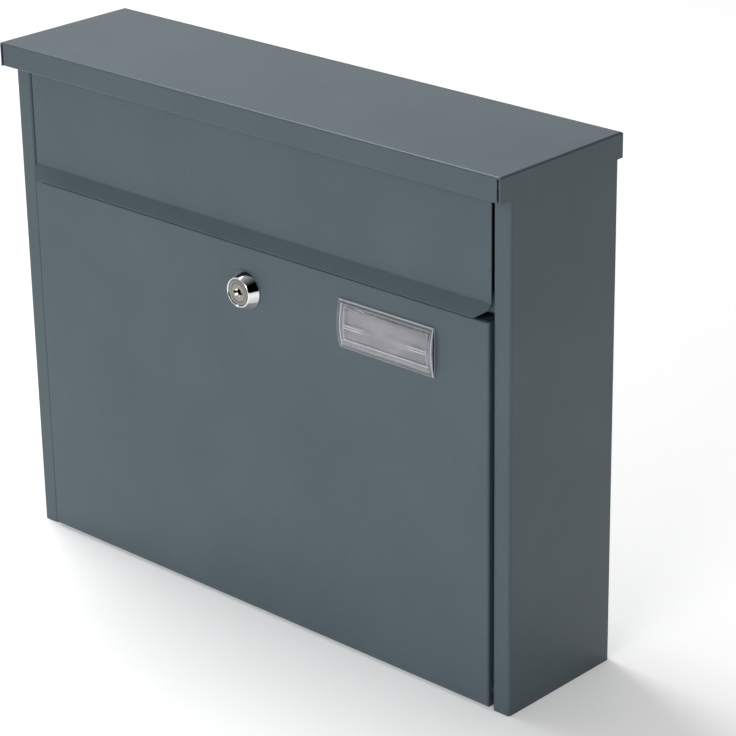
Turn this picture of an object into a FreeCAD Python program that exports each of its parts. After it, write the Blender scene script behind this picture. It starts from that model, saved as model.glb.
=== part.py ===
"""Wall mounted mailbox of folded sheet steel.

A shallow case with an overhanging roof cap, a top hinged letter flap, a drop down door on two
bottom pins, a cam lock and a clear name plate.

Frame, in millimetres: the origin is the middle of the wall screw pattern, on the wall plane.
+X is to the right of someone facing the box, +Y points into the wall and +Z is up.
Sizes called "height above the base" are measured up from the underside of the case.
"""

import FreeCAD, Part

import math
import os

from FreeCAD import Vector

# ---------------------------------------------------------------- driving dimensions
STEEL = 0.8  # thickness of every folded sheet
BEND = 0.8  # inside radius of a press brake bend
CRISP_BEND = 0.4  # inside radius of the tighter bends round the roof and the door

CASE_WIDTH = 360.0  # outside, over the two side panels
CASE_DEPTH = 83.0  # front flange to the rear face of the back panel
CASE_HEIGHT = 294.0  # underside of the case to the top of the roof

ROOF_OVERHANG = 9.6  # front skirt ahead of the front flanges
ROOF_SKIRT = 13.5  # height of the skirt all round
ROOF_GAP = 0.2  # between the skirt and the panels inside it
ROOF_SLIT = 1.4  # open corner between two skirts
HEM_HEIGHT = 7.0  # folded in edge of the front skirt
HEM_GAP = 0.2

FRONT_FLANGE = 11.3  # face of each side panel that shows beside the door
JAMB_DEPTH = 10.0  # the front flange's return into the case
REAR_FLANGE = 14.0
TOP_FLANGE = 10.0
END_MARGIN = 3.0  # a top flange stops this far from the panel's ends

SCREW_HOLE_R = 3.25
SCREW_MARGIN_SIDE = 50.0  # screw hole to the side of the case
SCREW_MARGIN_TOP = 54.0
SCREW_MARGIN_BASE = 60.0
PAD_R = 11.0  # flat of the pressed pad round each screw hole

SIDE_GAP = 1.4  # door or flap to the front flange beside it
DOOR_PROUD = 1.8  # door face ahead of the front flanges
DOOR_FOOT = 1.5  # lower edge of the door above the base
DOOR_RETURN = 12.0  # depth of the door's folded edges
DOOR_SLIT = 0.7  # open corner between two folded edges
DOOR_TURN = 95.0  # degrees from shut to fully open
DOOR_STOP_PLAY = 1.5  # degrees left before the open door meets its stop

PIN_R = 2.0  # door hinge pins
PIN_RUNNING = 0.08  # radial clearance of a turning fit
PIN_HEIGHT = 11.0  # hinge axis above the base
PIN_SETBACK = 6.2  # hinge axis behind the door face
PIN_HEAD_R = 3.6
PIN_HEAD = 1.0
PIN_HEAD_ROUND = 0.6
PIN_TAIL_CLEARANCE = 0.1  # between a pin's spread tail and the flange's bend
PIN_PLAY = 0.3  # end play under the head
WASHER_INSET = 0.7  # washers behind the face of the front flanges
WASHER_PLAY = 0.4

SWING_GAP = 1.0  # round the swing of the door's lower edge
STOP_LIP = 6.2  # how far the floor tray's lip reaches forward
STOP_LIP_MARGIN = 20.0  # the lip stops this far inside the case wall
FLOOR_FLANGE = 12.0

FLAP_RECESS = 0.1  # flap face behind the front flanges
FLAP_AXIS_DROP = 10.0  # hinge axis below the top of the roof
FLAP_LENGTH = 60.0  # hinge axis to where the flap turns out into its finger lip
LIP_ANGLE = 43.0  # lip from the vertical
LIP_LENGTH = 9.2
LIP_BEND = 1.6  # inside radius of the lip's bend
LIP_MITRE_WIDTH = 6.6  # cut off each end of the lip's free edge
LIP_MITRE = 6.2  # length of that cut along the lip
LIP_GAP = 2.4  # between the lip and the top of the door
ROD_R = 1.7
ROD_PLAY = 0.58  # radial play of the rolled edge on its rod
KNUCKLE_WRAP = 285.0  # degrees of the flap's rolled edge
ROD_CAP_R = 2.3
ROD_CAP = 1.2
ROD_END = 1.0  # rod beyond its caps

RAIL_GAP = 2.1  # between the back of the flap and the keeper rail
RAIL_RISE = 5.6  # rail's upper face above the flap's bend
RAIL_HEIGHT = 12.0
RAIL_SHELF = 9.0  # depth of its top leg
RAIL_TAB = 7.0  # folded ends that are welded to the jambs
KEEPER_GAP = 2.5  # between the door's folded edges and the keeper leg
KEEPER_LAP = 8.9  # keeper leg below the top of the door

BUFFER_R = 4.0
BUFFER_SPAN = 240.0
BUFFER_TOUCH = 0.3  # gap between a buffer and what it stops
BUFFER_ROUND = 0.4  # share of a buffer's thickness that is rounded over

LOCK_DROP = 24.8  # lock below the top of the door
LOCK_X = -1.2  # lock from the middle of the door, towards +X
LOCK_FIT = 0.1  # between parts that don't turn
COLLAR_PROUD = 6.0
COLLAR_RIM = 0.6  # straight foot of the collar
COLLAR_WALL = 0.85  # collar's face round the barrel
COLLAR_FLARE = 1.4  # collar's foot round the lock's head
COLLAR_EDGE = 0.25
COLLAR_LIP = 0.35  # face of the lock behind the collar's rim
BARREL_R = 7.3
BARREL_FLAT = 0.8  # depth of the two flats on barrel and hole
HEAD_FLANGE = 2.1  # lock's head beyond the barrel
HEAD_THICKNESS = 1.2
NUT_WALL = 2.7  # nut's flats beyond the barrel
NUT_THICKNESS = 4.0
NUT_CHAMFER = 0.9
STAR_WASHER = 0.8
STAR_WASHER_RIM = 3.3
STAR_TEETH = 12
PLUG_R = 5.5
PLUG_RUNNING = 0.08
PLUG_SHOULDER = 0.3  # plug's shoulder behind the barrel
KEYWAY_WIDTH = 6.4
KEYWAY_GAP = 1.3
KEYWAY_DEPTH = 13.0
KEYWAY_THROAT_R = 2.1
KEYWAY_THROAT = 0.8
TANG_ACROSS = 6.0  # squared end that carries the cam
WAFER_COUNT = 4
WAFER_FIRST = 3.2  # first wafer behind the plug's face
WAFER_THICKNESS = 1.0
WAFER_PITCH = 2.2
WAFER_WIDTH = 8.2
WAFER_HEIGHT = 8.6
WAFER_WINDOW = 2.4
STOP_PLATE = 1.5
STOP_EAR_INSET = 0.2  # ear inside the barrel's outline
STOP_EAR_ANGLE = 60.0
STOP_LUG_ANGLE = 206.0
CAM_TURN = 90.0
CAM_GAP = 0.5  # between the keeper leg and the cam
CAM_LAP = 9.0  # cam's tip above the keeper leg's lower edge
CAM_THICKNESS = 2.0
CAM_HUB_R = 8.0
CAM_TIP_WIDTH = 12.0
CAM_TIP_ROUND = 2.5
SPRING_WASHER = 1.0
SPRING_WASHER_R = 4.4
SPRING_WASHER_SPLIT = 0.5
CAM_SCREW_R = 1.95
CAM_SCREW_HEAD_R = 4.0
CAM_SCREW_HEAD = 2.6
CAM_SCREW_ROUND = 1.0
CAM_SCREW_LENGTH = 9.0  # in the plug and the cam
CROSS_LENGTH = 4.8  # cross recess of the screw
CROSS_WIDTH = 1.0
CROSS_DEPTH = 1.2

PLATE_MARGIN = 35.1  # name plate to the side of the door
PLATE_DROP = 0.5  # middle of the name plate below the lock
PLATE_WIDTH = 64.8
PLATE_HEIGHT = 26.7
PLATE_EDGE = 1.1  # height of the cover's front along its top and bottom
PLATE_BULGE = 2.0  # rise of its front at mid height
PLATE_BEVEL = 0.4
PLATE_RIM = 2.2  # width of the clear rim
CARD_SPACE = 0.45  # pocket for the card behind the cover
WINDOW_STEP = 0.4  # raised middle of the cover
WINDOW_MARGIN = 4.2
RIB_LENGTH = 19.0
RIB_HEIGHT = 0.8
RIB_STEP = 0.3
PLATE_BASE = 0.5
CARD_THICKNESS = 0.35
CARD_MARGIN = 0.8
PEG_R = 1.9
PEG_MARGIN = 8.0  # peg to the end of the name plate
PEG_LENGTH = 4.6
CLIP_R = 4.2
CLIP_THICKNESS = 0.6

# ---------------------------------------------------------------- places that follow from them
SCREW_SPAN_X = CASE_WIDTH - 2 * SCREW_MARGIN_SIDE
SCREW_SPAN_Z = CASE_HEIGHT - SCREW_MARGIN_TOP - SCREW_MARGIN_BASE
BASE_Z = -SCREW_SPAN_Z / 2 - SCREW_MARGIN_BASE
TOP_Z = BASE_Z + CASE_HEIGHT
WALL_Y = 0.0
BACK_Y = WALL_Y - STEEL - ROOF_GAP  # rear face of the back panel
FRONT_Y = BACK_Y - CASE_DEPTH  # face of the front flanges
SIDE_X = CASE_WIDTH / 2
WALL_IN_X = SIDE_X - STEEL
JAMB_X = SIDE_X - FRONT_FLANGE  # face of each jamb beside the opening
LEAF_X = JAMB_X - SIDE_GAP  # half the width of door and flap
UNDER_ROOF_Z = TOP_Z - STEEL

FLAP_Y = FRONT_Y + FLAP_RECESS
KNUCKLE_IN_R = ROD_R + ROD_PLAY
KNUCKLE_R = KNUCKLE_IN_R + STEEL
FLAP_AXIS_Y = FLAP_Y + KNUCKLE_R
FLAP_AXIS_Z = TOP_Z - FLAP_AXIS_DROP
FLAP_BEND_Z = FLAP_AXIS_Z - FLAP_LENGTH
LIP_TURN = math.radians(LIP_ANGLE)
LIP_TIP_Z = FLAP_BEND_Z - LIP_LENGTH * math.cos(LIP_TURN)

DOOR_Y = FRONT_Y - DOOR_PROUD
DOOR_IN_Y = DOOR_Y + STEEL
DOOR_BACK_Y = DOOR_Y + DOOR_RETURN
DOOR_FOOT_Z = BASE_Z + DOOR_FOOT
DOOR_TOP_Z = LIP_TIP_Z - LIP_GAP
PIN_Y = DOOR_Y + PIN_SETBACK
PIN_Z = BASE_Z + PIN_HEIGHT
PIN_BEHIND_FLANGE = PIN_Y - FRONT_Y
PIN_TAIL_R = PIN_BEHIND_FLANGE - BEND - STEEL - PIN_TAIL_CLEARANCE
WASHER_R = PIN_BEHIND_FLANGE - WASHER_INSET
WASHER_THICKNESS = SIDE_GAP - WASHER_PLAY

SWING_R = math.hypot(DOOR_RETURN - PIN_SETBACK, PIN_HEIGHT - DOOR_FOOT)
SWING_START = math.atan2(PIN_HEIGHT - DOOR_FOOT, DOOR_RETURN - PIN_SETBACK)
STOP_ANGLE = math.radians(DOOR_TURN + DOOR_STOP_PLAY) - SWING_START
STAND_Y = PIN_Y + SWING_R + SWING_GAP  # floor tray's upstand
STOP_LIP_Z = PIN_Z + SWING_R * math.sin(STOP_ANGLE)  # underside of its lip

RAIL_Y = FLAP_Y + STEEL + RAIL_GAP
RAIL_TOP_Z = FLAP_BEND_Z + RAIL_RISE
RAIL_FOOT_Z = RAIL_TOP_Z - RAIL_HEIGHT
KEEPER_Y = DOOR_BACK_Y + KEEPER_GAP
KEEPER_FOOT_Z = DOOR_TOP_Z - KEEPER_LAP

LOCK_Z = DOOR_TOP_Z - LOCK_DROP
LOCK_FACE_Y = DOOR_Y - COLLAR_PROUD
HEAD_R = BARREL_R + HEAD_FLANGE
COLLAR_FACE_R = BARREL_R + LOCK_FIT + COLLAR_WALL
COLLAR_FOOT_R = HEAD_R + LOCK_FIT + COLLAR_FLARE
BARREL_ACROSS = 2 * (BARREL_R - BARREL_FLAT)
NUT_ACROSS = 2 * (BARREL_R + NUT_WALL)
STAR_WASHER_R = BARREL_R + STAR_WASHER_RIM
STOP_PLATE_R = PLUG_R + LOCK_FIT
STOP_EAR_R = BARREL_R - STOP_EAR_INSET
STOP_PLATE_END_Y = KEEPER_Y + STEEL + CAM_GAP
PLUG_SHOULDER_Y = STOP_PLATE_END_Y - STOP_PLATE
BARREL_END_Y = PLUG_SHOULDER_Y - PLUG_SHOULDER
CAM_END_Y = STOP_PLATE_END_Y + CAM_THICKNESS
SPRING_WASHER_END_Y = CAM_END_Y + SPRING_WASHER
CAM_LENGTH = KEEPER_FOOT_Z + CAM_LAP - LOCK_Z

PLATE_X = LEAF_X - PLATE_MARGIN - PLATE_WIDTH / 2
PLATE_Z = LOCK_Z - PLATE_DROP
PLATE_BACK_Y = DOOR_Y - PLATE_BASE  # back of the cover

X = Vector(1, 0, 0)
Y = Vector(0, 1, 0)
Z = Vector(0, 0, 1)


# ---------------------------------------------------------------- general shapes
def box(x0, x1, y0, y1, z0, z1):
    return Part.makeBox(x1 - x0, y1 - y0, z1 - z0, Vector(x0, y0, z0))


def rod_y(radius, y0, y1, x=0.0, z=LOCK_Z):
    """A cylinder along +Y, by default at the lock's height."""
    return Part.makeCylinder(radius, y1 - y0, Vector(x, y0, z), Y)


def rod_x(radius, x0, x1, y, z):
    return Part.makeCylinder(radius, x1 - x0, Vector(x0, y, z), X)


def mirrored(shape):
    """The same piece on the other side of the box."""
    return shape.mirror(Vector(0, 0, 0), X)


def section_xy(u, v):
    return Vector(u, v, 0)


def section_yz(u, v):
    return Vector(0, u, v)


def section_xz(u, v):
    return Vector(u, 0, v)


def left_offset(path, distance):
    """The polyline moved to the left of its own direction."""
    normals = []
    for (u0, v0), (u1, v1) in zip(path, path[1:]):
        length = math.hypot(u1 - u0, v1 - v0)
        normals.append((-(v1 - v0) / length, (u1 - u0) / length))
    moved = []
    for i, (u, v) in enumerate(path):
        a = normals[max(i - 1, 0)]
        b = normals[min(i, len(normals) - 1)]
        share = distance / (1 + a[0] * b[0] + a[1] * b[1])
        moved.append((u + (a[0] + b[0]) * share, v + (a[1] + b[1]) * share))
    return moved


def rounded_run(path, radii, place):
    """Edges along a polyline whose inner corners are rounded by tangent arcs."""
    points = [place(u, v) for u, v in path]
    edges = []
    start = points[0]
    for i in range(1, len(points) - 1):
        back = (points[i - 1] - points[i]).normalize()
        ahead = (points[i + 1] - points[i]).normalize()
        half = back.getAngle(ahead) / 2
        reach = radii[i - 1] / math.tan(half)
        middle = (back + ahead).normalize()
        centre_distance = radii[i - 1] / math.sin(half)
        top = points[i] + middle * (centre_distance - radii[i - 1])
        first = points[i] + back * reach
        last = points[i] + ahead * reach
        edges.append(Part.LineSegment(start, first).toShape())
        edges.append(Part.Arc(first, top, last).toShape())
        start = last
    edges.append(Part.LineSegment(start, points[-1]).toShape())
    return edges


def trimmed(end, neighbour, length):
    """A polyline's end point moved towards the point beside it."""
    run = math.hypot(neighbour[0] - end[0], neighbour[1] - end[1])
    share = length / run
    u = end[0] + (neighbour[0] - end[0]) * share
    return (u, end[1] + (neighbour[1] - end[1]) * share)


def folded_sheet(path, place, span, bend=BEND, thickness=STEEL):
    """Sheet metal folded along a path and as long as the span.

    The path is one face of the sheet, from free edge to free edge, and the metal lies to its
    left. The free edges are rounded over, and every fold has the same inside radius.
    """
    path = [trimmed(path[0], path[1], thickness / 2)] + path[1:]
    path = path[:-1] + [trimmed(path[-1], path[-2], thickness / 2)]
    other = left_offset(path, thickness)
    turns = []
    for (u0, v0), (u1, v1), (u2, v2) in zip(path, path[1:], path[2:]):
        turns.append((u1 - u0) * (v2 - v1) - (v1 - v0) * (u2 - u1))
    near = [bend + thickness if turn > 0 else bend for turn in turns]
    far = [bend if turn > 0 else bend + thickness for turn in turns]
    run = rounded_run(path, near, place)
    back = rounded_run(list(reversed(other)), list(reversed(far)), place)

    def cap(a, b, outward):
        a, b = place(*a), place(*b)
        return Part.Arc(a, (a + b) * 0.5 + outward * (thickness / 2), b).toShape()

    end_out = (place(*path[-1]) - place(*path[-2])).normalize()
    start_out = (place(*path[0]) - place(*path[1])).normalize()
    edges = run + [cap(path[-1], other[-1], end_out)] + back
    edges.append(cap(other[0], path[0], start_out))
    face = Part.Face(Part.Wire(Part.__sortEdges__(edges)))
    axis = (place(1, 0).cross(place(0, 1))).normalize()
    axis = Vector(abs(axis.x), abs(axis.y), abs(axis.z))
    face.translate(axis * span[0])
    return face.extrude(axis * (span[1] - span[0]))


def edges_on(shape, test):
    """The edges whose every vertex passes the test."""
    return [e for e in shape.Edges if all(test(v.Point) for v in e.Vertexes)]


def tray(x, y, z, face_edge, bend):
    """A shallow open pan: a box rounded round one face and hollowed from the other side.

    x, y and z are (low, high) pairs of the outside, and face_edge is which of them carries the
    closed face: "y0" for the low end of y, "z1" for the high end of z.
    """
    axis, end = face_edge[0], int(face_edge[1])
    spans = {"x": list(x), "y": list(y), "z": list(z)}
    level = spans[axis][end]

    def rounded(limits, radius):
        solid = box(*limits["x"], *limits["y"], *limits["z"])
        face_level = limits[axis][end]

        def on_face(point):
            return abs(getattr(point, axis) - face_level) < 1e-6

        return solid.makeFillet(radius, edges_on(solid, on_face))

    outer = rounded(spans, bend + STEEL)
    inner = {k: [v[0] + STEEL, v[1] - STEEL] for k, v in spans.items()}
    inner[axis][1 - end] = spans[axis][1 - end] + (5.0 if end == 0 else -5.0)
    inner[axis][end] = level + (STEEL if end == 0 else -STEEL)
    return outer.cut(rounded(inner, bend))


def hexagon_prism(across, y0, y1):
    """A hexagon on the lock's axis."""
    radius = across / math.sqrt(3)
    points = []
    for i in range(7):
        angle = math.radians(60 * i + 30)
        points.append(Vector(radius * math.cos(angle), y0, LOCK_Z + radius * math.sin(angle)))
    return Part.Face(Part.makePolygon(points)).extrude(Y * (y1 - y0))


def ring_sector(r_in, r_out, y0, y1, start, sweep):
    """Part of a ring on the lock's axis, start and sweep in degrees from +X towards +Z."""
    ring = rod_y(r_out, y0, y1).cut(rod_y(r_in, y0, y1))
    reach = 2 * r_out
    steps = max(2, math.ceil(sweep / 60))
    points = [Vector(0, y0, LOCK_Z)]
    for i in range(steps + 1):
        angle = math.radians(start + sweep * i / steps)
        points.append(Vector(reach * math.cos(angle), y0, LOCK_Z + reach * math.sin(angle)))
    points.append(points[0])
    wedge = Part.Face(Part.makePolygon(points)).extrude(Y * (y1 - y0))
    return ring.common(wedge)


def barrel_profile(radius, flat, y0, y1):
    """A cylinder with two level flats, the shape of the lock barrel and of the hole for it."""
    barrel = rod_y(radius, y0, y1)
    slab = box(-radius, radius, y0, y1, LOCK_Z - flat / 2, LOCK_Z + flat / 2)
    return barrel.common(slab)


# ---------------------------------------------------------------- case
def side_panel():
    """Left side: rear flange, wall, front flange and jamb in one sheet, with a top flange."""
    rear_y = BACK_Y - STEEL
    outer_bend = BEND + STEEL
    profile = [
        (-SIDE_X + REAR_FLANGE, rear_y),
        (-SIDE_X, rear_y),
        (-SIDE_X, FRONT_Y),
        (-JAMB_X, FRONT_Y),
        (-JAMB_X, FRONT_Y + JAMB_DEPTH),
    ]
    wall = folded_sheet(profile, section_xy, (BASE_Z, UNDER_ROOF_Z - outer_bend))
    top_profile = [
        (-SIDE_X + TOP_FLANGE, UNDER_ROOF_Z),
        (-SIDE_X, UNDER_ROOF_Z),
        (-SIDE_X, UNDER_ROOF_Z - 2 * outer_bend),
    ]
    top_span = (FRONT_Y + END_MARGIN, rear_y - END_MARGIN)
    top = folded_sheet(top_profile, section_xz, top_span)
    panel = wall.fuse(top).removeSplitter()
    panel = panel.cut(rod_x(PIN_R, -SIDE_X + STEEL, 0, PIN_Y, PIN_Z))
    return panel.cut(rod_x(ROD_R, -SIDE_X + STEEL, 0, FLAP_AXIS_Y, FLAP_AXIS_Z))


def back_panel():
    """Flat sheet with a forward flange under the roof and four pressed screw pads."""
    half_width = SIDE_X - BEND - STEEL
    front_y = BACK_Y - STEEL
    path = [
        (front_y - TOP_FLANGE, UNDER_ROOF_Z - STEEL),
        (front_y, UNDER_ROOF_Z - STEEL),
        (front_y, BASE_Z),
    ]
    sheet = folded_sheet(path, section_yz, (-half_width, half_width))
    corner = 2 * TOP_FLANGE
    for side in (-1, 1):
        edge = side * (SIDE_X - TOP_FLANGE - ROOF_SLIT)
        x0, x1 = sorted((edge, side * SIDE_X))
        notch = box(x0, x1, front_y - corner, front_y, UNDER_ROOF_Z - corner, TOP_Z)
        sheet = sheet.cut(notch)
    for sx in (-1, 1):
        for sz in (-1, 1):
            x, z = sx * SCREW_SPAN_X / 2, sz * SCREW_SPAN_Z / 2
            sheet = sheet.fuse(pad_cone(x, z, BACK_Y, WALL_Y))
            sheet = sheet.cut(pad_cone(x, z, front_y, WALL_Y - STEEL))
            sheet = sheet.cut(rod_y(SCREW_HOLE_R, front_y, WALL_Y, x, z))
    return sheet.removeSplitter()


def pad_cone(x, z, y0, y1):
    """The solid that a pressed screw pad fills, 45 degrees at its edge."""
    return Part.makeCone(PAD_R + y1 - y0, PAD_R, y1 - y0, Vector(x, y0, z), Y)


def floor_tray():
    """Floor with an upstand behind the door, a lip that stops the open door, and flanges."""
    rear_y = BACK_Y - 2 * STEEL
    flange_z = BASE_Z + FLOOR_FLANGE
    outer_bend = BEND + STEEL
    long_path = [
        (STAND_Y - STOP_LIP, STOP_LIP_Z),
        (STAND_Y, STOP_LIP_Z),
        (STAND_Y, BASE_Z),
        (rear_y, BASE_Z),
        (rear_y, flange_z),
    ]
    half = WALL_IN_X - outer_bend
    floor = folded_sheet(long_path, section_yz, (-half, half))
    cross_path = [
        (-WALL_IN_X, flange_z),
        (-WALL_IN_X, BASE_Z),
        (WALL_IN_X, BASE_Z),
        (WALL_IN_X, flange_z),
    ]
    sides = folded_sheet(cross_path, section_xz, (STAND_Y + outer_bend, rear_y - outer_bend))
    floor = floor.fuse(sides).removeSplitter()
    lip_half = SIDE_X - STOP_LIP_MARGIN
    for side in (-1, 1):
        x0, x1 = sorted((side * lip_half, side * SIDE_X))
        over = 2 * STOP_LIP
        floor = floor.cut(box(x0, x1, STAND_Y - over, STAND_Y + over, flange_z, STOP_LIP_Z + over))
    return floor


def roof_cap():
    """Inverted tray with open corners and a hemmed front skirt."""
    half = SIDE_X + ROOF_GAP + STEEL
    front_y = FRONT_Y - ROOF_OVERHANG
    foot_z = TOP_Z - ROOF_SKIRT
    cap = tray((-half, half), (front_y, WALL_Y), (foot_z, TOP_Z), "z1", CRISP_BEND)
    outer_bend = CRISP_BEND + STEEL
    hem_out = (2 * STEEL + HEM_GAP) / 2
    hem_in = HEM_GAP / 2
    slit_z = TOP_Z - outer_bend
    for side in (-1, 1):
        x0, x1 = sorted((side * (half - STEEL - ROOF_SLIT), side * (half - STEEL)))
        cap = cap.cut(box(x0, x1, front_y, front_y + STEEL, foot_z, slit_z))
        cap = cap.cut(box(x0, x1, WALL_Y - STEEL, WALL_Y, foot_z, slit_z))
    hem_half = half - STEEL - ROOF_SLIT
    cap = cap.cut(box(-hem_half, hem_half, front_y, front_y + STEEL, foot_z, foot_z + hem_out))
    return cap.fuse(hem(front_y, foot_z, hem_out, hem_in, hem_half)).removeSplitter()


def hem(front_y, foot_z, r_out, r_in, half_length):
    """Closed fold: a half ring under the skirt and a second layer behind it."""
    turn_z = foot_z + r_out
    centre_y = front_y + r_out
    top_z = foot_z + HEM_HEIGHT
    back_y = front_y + 2 * r_out

    def at(y, z):
        return Vector(-half_length, y, z)

    edges = [
        Part.Arc(at(front_y, turn_z), at(centre_y, foot_z), at(back_y, turn_z)).toShape(),
        Part.LineSegment(at(back_y, turn_z), at(back_y, top_z)).toShape(),
        Part.LineSegment(at(back_y, top_z), at(back_y - STEEL, top_z)).toShape(),
        Part.LineSegment(at(back_y - STEEL, top_z), at(centre_y + r_in, turn_z)).toShape(),
        Part.Arc(
            at(centre_y + r_in, turn_z), at(centre_y, turn_z - r_in), at(centre_y - r_in, turn_z)
        ).toShape(),
        Part.LineSegment(at(centre_y - r_in, turn_z), at(front_y, turn_z)).toShape(),
    ]
    return Part.Face(Part.Wire(edges)).extrude(X * (2 * half_length))


def keeper_rail():
    """Channel between the jambs: the flap rests on it and the cam hooks behind its leg."""
    outer_bend = BEND + STEEL
    path = [
        (RAIL_Y + RAIL_SHELF, RAIL_TOP_Z),
        (RAIL_Y, RAIL_TOP_Z),
        (RAIL_Y, RAIL_FOOT_Z),
        (KEEPER_Y, RAIL_FOOT_Z),
        (KEEPER_Y, KEEPER_FOOT_Z),
    ]
    half = JAMB_X - outer_bend
    channel = folded_sheet(path, section_yz, (-half, half))
    ends = [
        (-JAMB_X, RAIL_Y + RAIL_TAB),
        (-JAMB_X, RAIL_Y),
        (JAMB_X, RAIL_Y),
        (JAMB_X, RAIL_Y + RAIL_TAB),
    ]
    tab_span = (RAIL_FOOT_Z + outer_bend, RAIL_TOP_Z - outer_bend)
    tabs = folded_sheet(ends, section_xy, tab_span)
    return channel.fuse(tabs).removeSplitter()


def rail_buffers(face_y, thickness, z):
    """Two rubber buttons on the rail, domed towards what they stop."""
    buttons = []
    for side in (-1, 1):
        x = side * BUFFER_SPAN / 2
        button = rod_y(BUFFER_R, face_y - thickness, face_y, x, z)
        front = edges_on(button, lambda p: abs(p.y - (face_y - thickness)) < 1e-6)
        buttons.append(button.makeFillet(BUFFER_ROUND * thickness, front))
    return Part.makeCompound(buttons)


# ---------------------------------------------------------------- flap
def flap():
    """Letter flap: rolled round its rod at the top, turned out into a finger lip below."""
    tip = (FLAP_Y - LIP_LENGTH * math.sin(LIP_TURN), LIP_TIP_Z)
    path = [(FLAP_Y, FLAP_AXIS_Z + STEEL), (FLAP_Y, FLAP_BEND_Z), tip]
    sheet = folded_sheet(path, section_yz, (-LEAF_X, LEAF_X), LIP_BEND)
    above = box(-LEAF_X, LEAF_X, FLAP_Y, FLAP_Y + STEEL, FLAP_AXIS_Z, FLAP_AXIS_Z + STEEL)
    sheet = sheet.cut(above)
    ring = rod_x(KNUCKLE_R, -LEAF_X, LEAF_X, FLAP_AXIS_Y, FLAP_AXIS_Z)
    ring = ring.cut(rod_x(KNUCKLE_IN_R, -LEAF_X, LEAF_X, FLAP_AXIS_Y, FLAP_AXIS_Z))
    ring = ring.cut(knuckle_opening())
    leaf = sheet.fuse(ring).removeSplitter()
    for side in (-1, 1):
        leaf = leaf.cut(lip_corner(side))
    return leaf


def knuckle_opening():
    """Wedge left open between the rolled edge's end and the back of the flap."""
    reach = 3 * KNUCKLE_R
    points = [Vector(-LEAF_X, FLAP_AXIS_Y, FLAP_AXIS_Z)]
    for degrees in (180.0, 180.0 + (360.0 - KNUCKLE_WRAP) / 2, 540.0 - KNUCKLE_WRAP):
        angle = math.radians(degrees)
        y = FLAP_AXIS_Y + reach * math.cos(angle)
        points.append(Vector(-LEAF_X, y, FLAP_AXIS_Z + reach * math.sin(angle)))
    points.append(points[0])
    return Part.Face(Part.makePolygon(points)).extrude(X * (2 * LEAF_X))


def lip_corner(side):
    """The triangular prism that is cut off one corner of the lip."""
    along = Vector(0, -math.sin(LIP_TURN), -math.cos(LIP_TURN))
    normal = X.cross(along)
    inward = X * -side
    over = 3 * STEEL
    corner = Vector(side * LEAF_X, FLAP_Y, FLAP_BEND_Z) + along * LIP_LENGTH - normal * over
    upper = corner - along * LIP_MITRE
    lower = corner + inward * LIP_MITRE_WIDTH
    slope = (lower - upper).normalize()
    outline = [upper - slope * over, lower + slope * over, corner + (along - inward) * over * 2]
    face = Part.Face(Part.makePolygon(outline + [outline[0]]))
    return face.extrude(normal * (3 * over))


def flap_rod():
    end = JAMB_X + STEEL + BEND + ROD_CAP + ROD_END
    return rod_x(ROD_R, -end, end, FLAP_AXIS_Y, FLAP_AXIS_Z)


def flap_rod_caps():
    """Push-on caps that hold the rod from behind the jambs, clear of their front bends."""
    inner = JAMB_X + STEEL + BEND
    cap = rod_x(ROD_CAP_R, inner, inner + ROD_CAP, FLAP_AXIS_Y, FLAP_AXIS_Z)
    cap = cap.cut(rod_x(ROD_R, inner, inner + ROD_CAP, FLAP_AXIS_Y, FLAP_AXIS_Z))
    return Part.makeCompound([cap, mirrored(cap)])


# ---------------------------------------------------------------- door
def door_panel():
    """Pan folded back on all four sides, with holes for the lock, name plate and pins."""
    y_span = (DOOR_Y, DOOR_BACK_Y)
    z_span = (DOOR_FOOT_Z, DOOR_TOP_Z)
    pan = tray((-LEAF_X, LEAF_X), y_span, z_span, "y0", CRISP_BEND)
    slit_y = DOOR_Y + CRISP_BEND + STEEL
    for side in (-1, 1):
        x0, x1 = sorted((side * (LEAF_X - STEEL - DOOR_SLIT), side * (LEAF_X - STEEL)))
        pan = pan.cut(box(x0, x1, slit_y, DOOR_BACK_Y, DOOR_TOP_Z - STEEL, DOOR_TOP_Z))
        pan = pan.cut(box(x0, x1, slit_y, DOOR_BACK_Y, DOOR_FOOT_Z, DOOR_FOOT_Z + STEEL))
    pan = pan.cut(rod_x(PIN_R + PIN_RUNNING, -LEAF_X, LEAF_X, PIN_Y, PIN_Z))
    hole_r = BARREL_R + LOCK_FIT
    hole = barrel_profile(hole_r, BARREL_ACROSS + 2 * LOCK_FIT, DOOR_Y, DOOR_IN_Y)
    pan = pan.cut(on_lock(hole))
    for x in peg_places():
        pan = pan.cut(rod_y(PEG_R + LOCK_FIT, DOOR_Y, DOOR_IN_Y, x, PLATE_Z))
    return pan


def door_pin():
    """Left shoulder rivet: head inside the door, tail spread behind the jamb."""
    head_x = -LEAF_X + STEEL + PIN_PLAY
    tail_x = -JAMB_X - STEEL
    shank = rod_x(PIN_R, tail_x, head_x, PIN_Y, PIN_Z)
    head = rod_x(PIN_HEAD_R, head_x, head_x + PIN_HEAD, PIN_Y, PIN_Z)
    rim = edges_on(head, lambda p: abs(p.x - (head_x + PIN_HEAD)) < 1e-6)
    head = head.makeFillet(PIN_HEAD_ROUND, rim)
    tail = rod_x(PIN_TAIL_R, tail_x - PIN_HEAD, tail_x, PIN_Y, PIN_Z)
    rim = edges_on(tail, lambda p: abs(p.x - (tail_x - PIN_HEAD)) < 1e-6)
    tail = tail.makeFillet(PIN_HEAD_ROUND, rim)
    return shank.fuse([head, tail]).removeSplitter()


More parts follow.
